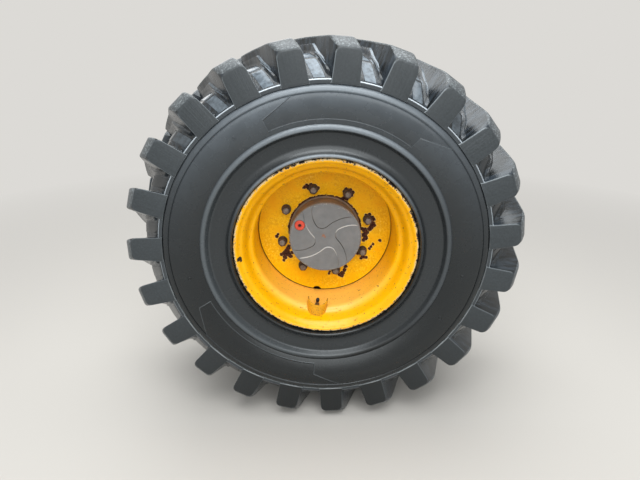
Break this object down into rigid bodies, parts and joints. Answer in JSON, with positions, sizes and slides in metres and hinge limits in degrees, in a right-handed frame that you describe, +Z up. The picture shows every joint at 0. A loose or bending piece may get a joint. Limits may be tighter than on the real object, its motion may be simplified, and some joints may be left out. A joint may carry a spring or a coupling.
{
  "type": "driven wheel with lugged tyre, drop-centre rim and planetary hub on its axle end",
  "caption": "Lugged industrial tyre on a yellow drop-centre rim and disc, bolted to a planetary hub that turns freely on a flanged axle end.",
  "frame": {"origin": "centre of the axle flange's flat face, on the wheel's axis", "axes": "+Z up, +Y along the axle towards the vehicle, so the wheel's outboard side faces -Y"},
  "size_m": [1.1178, 0.522, 1.118],
  "materials": {
    "tyre_rubber": "satin, faint mould marks",
    "rim_yellow": "gloss paint, chipped at the flange edge",
    "disc_yellow": "gloss paint with rust flakes round the nuts",
    "weld": "painted weld bead",
    "hub_iron": "thin grey paint with rust",
    "cover_grey": "satin grey paint with scratches",
    "plug_red": "satin red",
    "fastener_steel": "dull dark steel, rusted",
    "valve_brass": "dull",
    "cap_black": "matt black",
    "axle_grey": "dark grey paint over a casting",
    "bright_steel": "machined",
    "seal_rubber": "matt black, dusty"
  },
  "bodies": {
    "axle_end": {"axle_flange": "axle_grey", "axle_arm": "axle_grey", "brake_housing": "axle_grey", "brake_bolts": "fastener_steel", "bleed_screw": "valve_brass", "seal_ring": "seal_rubber", "spindle": "bright_steel"},
    "wheel": {"tyre": "tyre_rubber", "rim": "rim_yellow", "disc": "disc_yellow", "disc_weld": "weld", "hub": "hub_iron", "hub_cover": "cover_grey", "oil_plug": "plug_red", "wheel_studs": "fastener_steel", "wheel_nuts": "fastener_steel", "valve_stem": "valve_brass", "valve_cap": "cap_black", "valve_guard": "rim_yellow"}
  },
  "joints": [
    {"name": "wheel_spin", "type": "hinge", "parent": "axle_end", "child": "wheel", "pos_m": [0, -0.3, 0], "axis": [0, 1, 0], "continuous": true}
  ]
}
